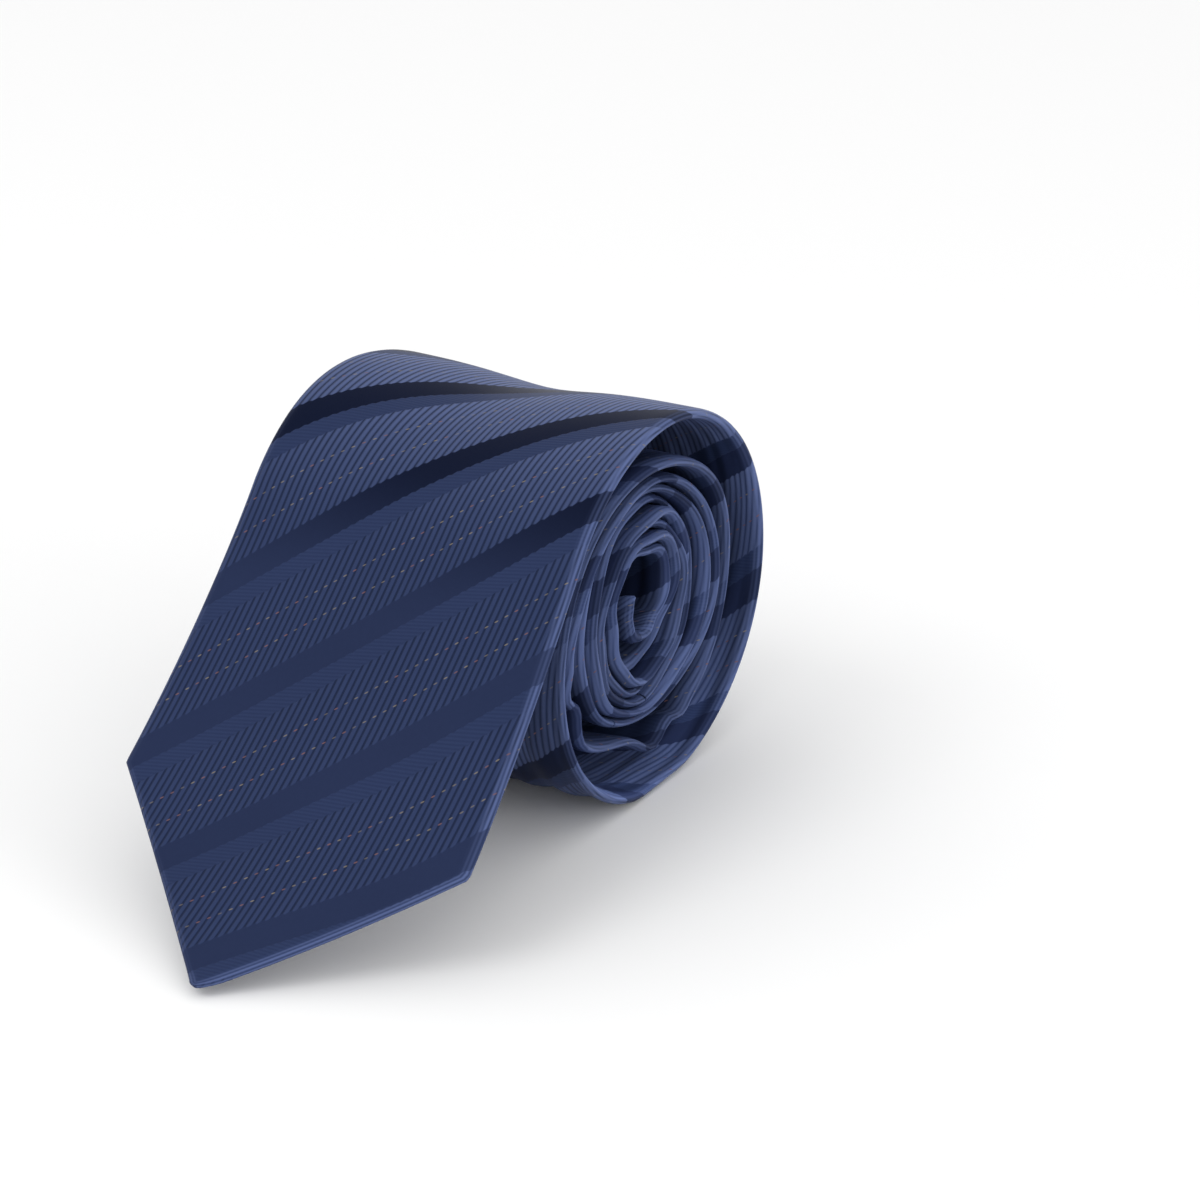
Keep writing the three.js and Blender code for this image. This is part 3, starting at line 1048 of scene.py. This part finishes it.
@dataclass
class InnerLayer:
    """A flat layer inside the silk, such as the canvas or the lining."""

    name: str
    roll: Roll
    start: float
    end: float
    top: float
    thickness: float
    nodes: tuple[str, ...]
    finish: Material
    slot: str
    inset: float = 1.9
    step: float = 2.6
    columns: int = 20

    def build(self) -> Piece:
        """Builds the layer on the roll."""
        tie = self.roll.tie
        s = np.linspace(self.start, self.end, int((self.end - self.start) / self.step) + 2)
        left = np.maximum(tie.half_width(s, -1) - self.inset, 0.4)[:, None]
        right = np.maximum(tie.half_width(s, 1) - self.inset, 0.4)[:, None]
        x = -left + (left + right) * np.linspace(0, 1, self.columns + 1)[None, :]
        middle = self.top - self.thickness / 2 + 0 * x
        piece, cloth = lay_sheet(self.name, self.roll, s, x, middle, x)
        dress(piece, self.thickness, 0.0, self.finish, self.nodes)
        return piece


@dataclass
class KeeperLoop:
    """The silk strip across the blade's back that holds the narrow end when the tie is worn."""

    roll: Roll
    finish: Material
    width: float = 48.0
    height: float = 12.0
    slack: float = 0.7
    thickness: float = 0.5
    foot: float = 3.0
    foot_slope: float = 1.2
    sway: float = 0.35
    belly: float = 0.12
    columns: int = 36
    rows: int = 8

    def build(self) -> Piece:
        """Builds the strip with its two sewn-down feet."""
        tie = self.roll.tie
        half = self.width / 2
        across = np.linspace(-half, half, self.columns + 1)
        inner = half - self.foot
        base = -(tie.thickness + tie.ply_gap)
        rise = self.slack * smooth(inner + self.foot_slope, inner - self.foot_slope, np.abs(across))
        up = np.linspace(-self.height / 2, self.height / 2, self.rows + 1)[:, None]
        x = across[None, :] + 0 * up
        s = tie.keeper_from_point + up + self.sway * np.sin(x / 9.0)
        belly = 1 + self.belly * np.cos(up / self.height * math.pi)
        n = base - self.thickness - belly * rise[None, :]
        cloth = np.stack([x + 0 * s, up + 0 * x], axis=-1) * MM
        piece = mesh_from_grid("keeper_loop_silk", self.roll.place(s, x, n)[::-1], cloth[::-1])
        dress(piece, self.thickness, -1.0, self.finish, ("keeper_loop",))
        return piece


@dataclass(frozen=True)
class Stitch:
    """Where one stitch lies on the flat tie: millimetres, and degrees from the tie's length towards +x."""

    s: float
    x: float
    n: float
    turn: float = 0.0


@dataclass
class Stitching:
    """Hand and machine stitches, each modelled flat once, copied, and carried onto the roll."""

    roll: Roll
    finish: Material
    thread: float = 0.3
    slip_pitch: float = 11.0
    slip_lean: float = 62.0
    slip_aside: float = 4.6
    tack_pitch: float = 0.62
    seam_pitch: float = 2.4
    keeper_foot: float = 22.5

    def model_stitch(self, length: float) -> Piece:
        """Models one stitch along +Y: a short thread with rounded ends that dips at both.

        Args:
            length: Its length in millimetres.

        Returns:
            The stitch, flat at the origin.
        """
        radius = self.thread / 2 * MM
        bpy.ops.object.select_all(action="DESELECT")
        bpy.ops.mesh.primitive_cylinder_add(vertices=8, radius=radius, depth=length * 0.8 * MM,
                                            rotation=(math.pi / 2, 0.0, 0.0))
        piece = bpy.context.object
        bpy.ops.object.transform_apply(location=True, rotation=True, scale=True)
        mesh = piece.data
        for side in (-1, 1):
            for polygon in mesh.polygons:
                polygon.select = polygon.normal.y * side > 0.9
            bpy.ops.object.mode_set(mode="EDIT")
            bpy.ops.mesh.select_mode(type="FACE")
            way = (0.0, side * length * 0.1 * MM, -radius * 0.7)
            bpy.ops.mesh.extrude_region_move(TRANSFORM_OT_translate={"value": way})
            bpy.ops.transform.resize(value=(0.45, 1.0, 0.45))
            bpy.ops.mesh.select_all(action="DESELECT")
            bpy.ops.object.mode_set(mode="OBJECT")
        for edge in mesh.edges:
            a, b = (mesh.vertices[v].co for v in edge.vertices)
            edge.select = abs(a.y - b.y) > length * 0.5 * MM
        bpy.ops.object.mode_set(mode="EDIT")
        bpy.ops.mesh.select_mode(type="EDGE")
        bpy.ops.mesh.subdivide(number_cuts=3)
        bpy.ops.mesh.select_all(action="DESELECT")
        bpy.ops.object.mode_set(mode="OBJECT")
        bpy.ops.object.shade_smooth_by_angle(angle=math.radians(60))
        return piece

    def sew(self, name: str, length: float, stitches: list[Stitch], node: str) -> Piece:
        """Copies a stitch to each place and carries the copies onto the roll as one piece.

        Args:
            name: The piece's name.
            length: Length of each stitch in millimetres.
            stitches: Where they lie.
            node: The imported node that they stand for.

        Returns:
            The finished row of stitches.
        """
        pattern = self.model_stitch(length)
        flat = np.array([tuple(vertex.co) for vertex in pattern.data.vertices]) / MM
        copies = []
        for stitch in stitches:
            copy = pattern.copy()
            copy.data = pattern.data.copy()
            bpy.context.scene.collection.objects.link(copy)
            turn = math.radians(stitch.turn)
            along = stitch.s + flat[:, 1] * math.cos(turn) - flat[:, 0] * math.sin(turn)
            across = stitch.x + flat[:, 0] * math.cos(turn) + flat[:, 1] * math.sin(turn)
            at = self.roll.place(along, across, stitch.n - flat[:, 2])
            copy.data.vertices.foreach_set("co", at.astype(np.float32).reshape(-1))
            copy.data.flip_normals()
            copies.append(copy)
        bpy.data.objects.remove(pattern)
        only(copies[0])
        for copy in copies[1:]:
            copy.select_set(True)
        bpy.ops.object.join()
        piece = bpy.context.object
        piece.name = name
        piece.data.name = name
        piece.data.materials.clear()
        piece.data.materials.append(self.finish)
        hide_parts(node)
        LOG.info("%s: %d stitches", name, len(stitches))
        return piece

    def slip_stitches(self, start: float, end: float) -> list[Stitch]:
        """Slanted stitches where the flaps lap over, and stitches in the slit where the roll is tight."""
        tie = self.roll.tie
        made = []
        for s in np.arange(start, end, self.slip_pitch):
            lap = float(tie.flap_lap(np.array([s]))[0])
            slanted = lap > 0.5
            depth = tie.thickness + (0.5 if slanted else -0.35)
            aside, lean = (self.slip_aside * lap, self.slip_lean) if slanted else (0.0, 0.0)
            made.append(Stitch(float(s), aside, -depth, lean))
        return made

    def bar_tack(self, s: float, half: float = 4.0) -> list[Stitch]:
        """A close row of stitches side by side, with two across them."""
        under = -(self.roll.tie.thickness + self.roll.tie.ply_gap + self.thread / 2)
        close = [Stitch(s, x, under, 4.0) for x in np.arange(-half, half + 0.1, self.tack_pitch)]
        over = [Stitch(s + shift, x, under - 0.12, 90.0) for shift in (-0.45, 0.45) for x in (-2.6, 0.0, 2.6)]
        return close + over

    def seam(self, s: float) -> list[Stitch]:
        """Machine stitches across the tie, inside the seam."""
        reach = float(self.roll.tie.half_width(np.array([s]), 1)[0]) - self.seam_pitch
        return [Stitch(s, x, -0.3, 90.0) for x in np.arange(-reach, reach, self.seam_pitch)]

    def keeper_row(self, side: int) -> list[Stitch]:
        """Stitches through one foot of the keeper loop."""
        tie = self.roll.tie
        under = -(tie.thickness + tie.ply_gap + 0.5 + self.thread / 3)
        steps = (-3.2, -1.6, 0.0, 1.6, 3.2)
        return [Stitch(tie.keeper_from_point + step, side * self.keeper_foot, under) for step in steps]


@dataclass
class Tie:
    """The whole tie on its roll."""

    roll: Roll
    finishes: Finishes
    bend_before: float = 7.0
    bend_after: float = 8.0
    seam_gap: float = 0.6
    layer_inset: float = 5.0

    def bend(self, piece: Piece) -> None:
        """Bakes the placement of a piece that crosses the fold line into its mesh."""
        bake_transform(piece)

    def settle(self, piece: Piece, bends: bool) -> None:
        """Bakes a piece that crosses the fold line into its mesh, or attaches it to the roll's body."""
        if bends:
            self.bend(piece)
        else:
            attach(piece, Body.ROLL.value)

    def build(self) -> None:
        """Builds every piece and attaches those that ride on the roll to the roll's body."""
        self.build_silk()
        self.build_layers()
        self.settle(KeeperLoop(self.roll, self.finishes.silk).build(), False)
        self.build_stitches()

    def build_silk(self) -> None:
        """The three pieces of silk, with a gap at each seam."""
        tie, gap = self.roll.tie, self.seam_gap / 2
        for name, start, end, nodes in (
            ("blade_silk", 0.0, tie.blade_length - gap, ("blade_shell_loose", "blade_shell_rolled")),
            ("neck_silk", tie.blade_length + gap, tie.tail_start - gap, ("neck_shell",)),
            ("tail_silk", tie.tail_start + gap, tie.length, ("tail_shell", "tail_end_shell")),
        ):
            shell = SilkShell(name, self.roll, start, end, nodes, self.finishes.silk)
            self.settle(shell.build(), start < tie.fold_line)

    def build_layers(self) -> None:
        """Canvas under the front silk, and lining under the canvas at both ends."""
        tie, near, far = self.roll.tie, self.layer_inset, self.roll.tie.length - self.layer_inset
        top = -(tie.silk + tie.ply_gap)
        under = top - tie.canvas - tie.ply_gap
        canvas = (self.finishes.canvas, "interlining", InnerLayer.step)
        lining = (self.finishes.lining, "tipping", InnerLayer.step / 2)
        blade_canvas_nodes = ("blade_interlining_loose", "blade_interlining_rolled")
        tail_start = tie.blade_length + self.seam_gap
        blade_end, tail_end = tie.blade_flaps_meet + tie.tack_length, tie.tail_flaps_meet - tie.tack_length
        for name, start, end, height, thickness, nodes, (finish, slot, step) in (
            ("blade_canvas", near, tie.blade_length, top, tie.canvas, blade_canvas_nodes, canvas),
            ("tail_canvas", tail_start, far, top, tie.canvas, ("tail_interlining",), canvas),
            ("blade_lining", near, blade_end, under, tie.lining, ("blade_tipping",), lining),
            ("tail_lining", tail_end, far, under, tie.lining, ("tail_tipping",), lining),
        ):
            layer = InnerLayer(name, self.roll, start, end, height, thickness, nodes, finish, slot, step=step)
            self.settle(layer.build(), start < tie.fold_line)

    def build_stitches(self) -> None:
        """Stitches of the keeper loop, slip stitches, a bar tack at each end of them, and the two seams."""
        tie = self.roll.tie
        sewing = Stitching(self.roll, self.finishes.thread)
        start, end = tie.blade_flaps_meet + tie.tack_length, tie.tail_flaps_meet - tie.tack_length
        near = sewing.slip_stitches(start + 3, tie.fold_line)
        far = sewing.slip_stitches(tie.fold_line + 4, end - 3)
        to_tack = tie.tack_length / 2 + 0.5
        for name, length, stitches, node, bends in (
            ("keeper_stitches_left", 1.4, sewing.keeper_row(-1), "keeper_stitch_left", False),
            ("keeper_stitches_right", 1.4, sewing.keeper_row(1), "keeper_stitch_right", False),
            ("slip_stitches_blade", 3.4, near, "slip_stitch_loose", True),
            ("slip_stitches_back", 3.4, far, "slip_stitch_rolled", True),
            ("bar_tack_blade", 2.4, sewing.bar_tack(tie.blade_flaps_meet + to_tack), "blade_bar_tack", True),
            ("bar_tack_tail", 2.4, sewing.bar_tack(tie.tail_flaps_meet - to_tack), "tail_bar_tack", False),
            ("seam_stitches_blade_neck", 2.0, sewing.seam(tie.blade_length), "blade_neck_seam", False),
            ("seam_stitches_neck_tail", 2.0, sewing.seam(tie.tail_start), "neck_tail_seam", False),
        ):
            self.settle(sewing.sew(name, length, stitches, node), bends)


# Studio ----------------------------------------------------

@dataclass(frozen=True)
class Studio:
    """Floor, lights and camera: metres, degrees and watts."""

    azimuth: float = 30.0
    elevation: float = 22.83
    distance: float = 0.7582
    lens: float = 108.34
    aim: tuple[float, float, float] = (0.0261, 0.0290, 0.0469)
    surround: float = 1.0
    key: float = 3.0
    key_size: float = 0.6
    key_place: tuple[float, float, float] = (-0.35, -0.75, 1.0)
    side: float = 2.2
    side_size: float = 0.5
    side_place: tuple[float, float, float] = (1.0, -0.1, 0.32)

    def build(self) -> None:
        """Sets up the studio."""
        self.build_floor()
        self.build_lights()
        self.build_camera()

    def build_floor(self) -> None:
        """A plain pale floor."""
        bpy.ops.object.select_all(action="DESELECT")
        bpy.ops.mesh.primitive_plane_add(size=8.0, location=(0.0, 0.0, -0.0002))
        floor = bpy.context.object
        floor.name = "floor"
        material = bpy.data.materials.new("pale floor")
        material.use_nodes = True
        shader = material.node_tree.nodes["Principled BSDF"]
        shader.inputs["Base Color"].default_value = (0.9, 0.9, 0.9, 1.0)
        shader.inputs["Roughness"].default_value = 0.8
        floor.data.materials.append(material)

    def build_lights(self) -> None:
        """A soft key light from the front and above, a low one from the right, and a white surround."""
        bpy.context.scene.view_settings.view_transform = "Standard"
        world = bpy.data.worlds.new("studio")
        bpy.context.scene.world = world
        world.use_nodes = True
        world.node_tree.nodes["Background"].inputs["Color"].default_value = (1.0, 1.0, 1.0, 1.0)
        world.node_tree.nodes["Background"].inputs["Strength"].default_value = self.surround
        self.add_light("key light", self.key_place, self.key_size, self.key)
        self.add_light("side light", self.side_place, self.side_size, self.side)

    def add_light(self, name: str, place: tuple[float, float, float], size: float, power: float) -> None:
        """A square soft light that faces the tie."""
        light = bpy.data.lights.new(name, "AREA")
        light.size = size
        light.energy = power
        lamp = bpy.data.objects.new(name, light)
        bpy.context.scene.collection.objects.link(lamp)
        lamp.location = place
        lamp.rotation_euler = look(np.array(self.aim) - np.array(place))

    def build_camera(self) -> None:
        """A long lens from the right and a little above."""
        turn, rise = math.radians(self.azimuth), math.radians(self.elevation)
        back = np.array([math.sin(turn) * math.cos(rise), -math.cos(turn) * math.cos(rise), math.sin(rise)])
        data = bpy.data.cameras.new("camera")
        data.lens = self.lens
        data.sensor_width = 36.0
        camera = bpy.data.objects.new("camera", data)
        bpy.context.scene.collection.objects.link(camera)
        camera.location = np.array(self.aim) + back * self.distance
        camera.rotation_euler = look(-back)
        bpy.context.scene.camera = camera


def look(way: Array) -> tuple[float, float, float]:
    """The turn that points a lamp or camera along a direction, upright."""
    return tuple(Vector(way.tolist()).to_track_quat("-Z", "Y").to_euler())


def main() -> None:
    """Builds the studio and the tie."""
    logging.basicConfig(level=logging.INFO, format="%(name)s: %(message)s")
    Studio().build()
    Tie(Roll(TieSizes()), Finishes()).build()


if __name__ == "__main__":
    main()
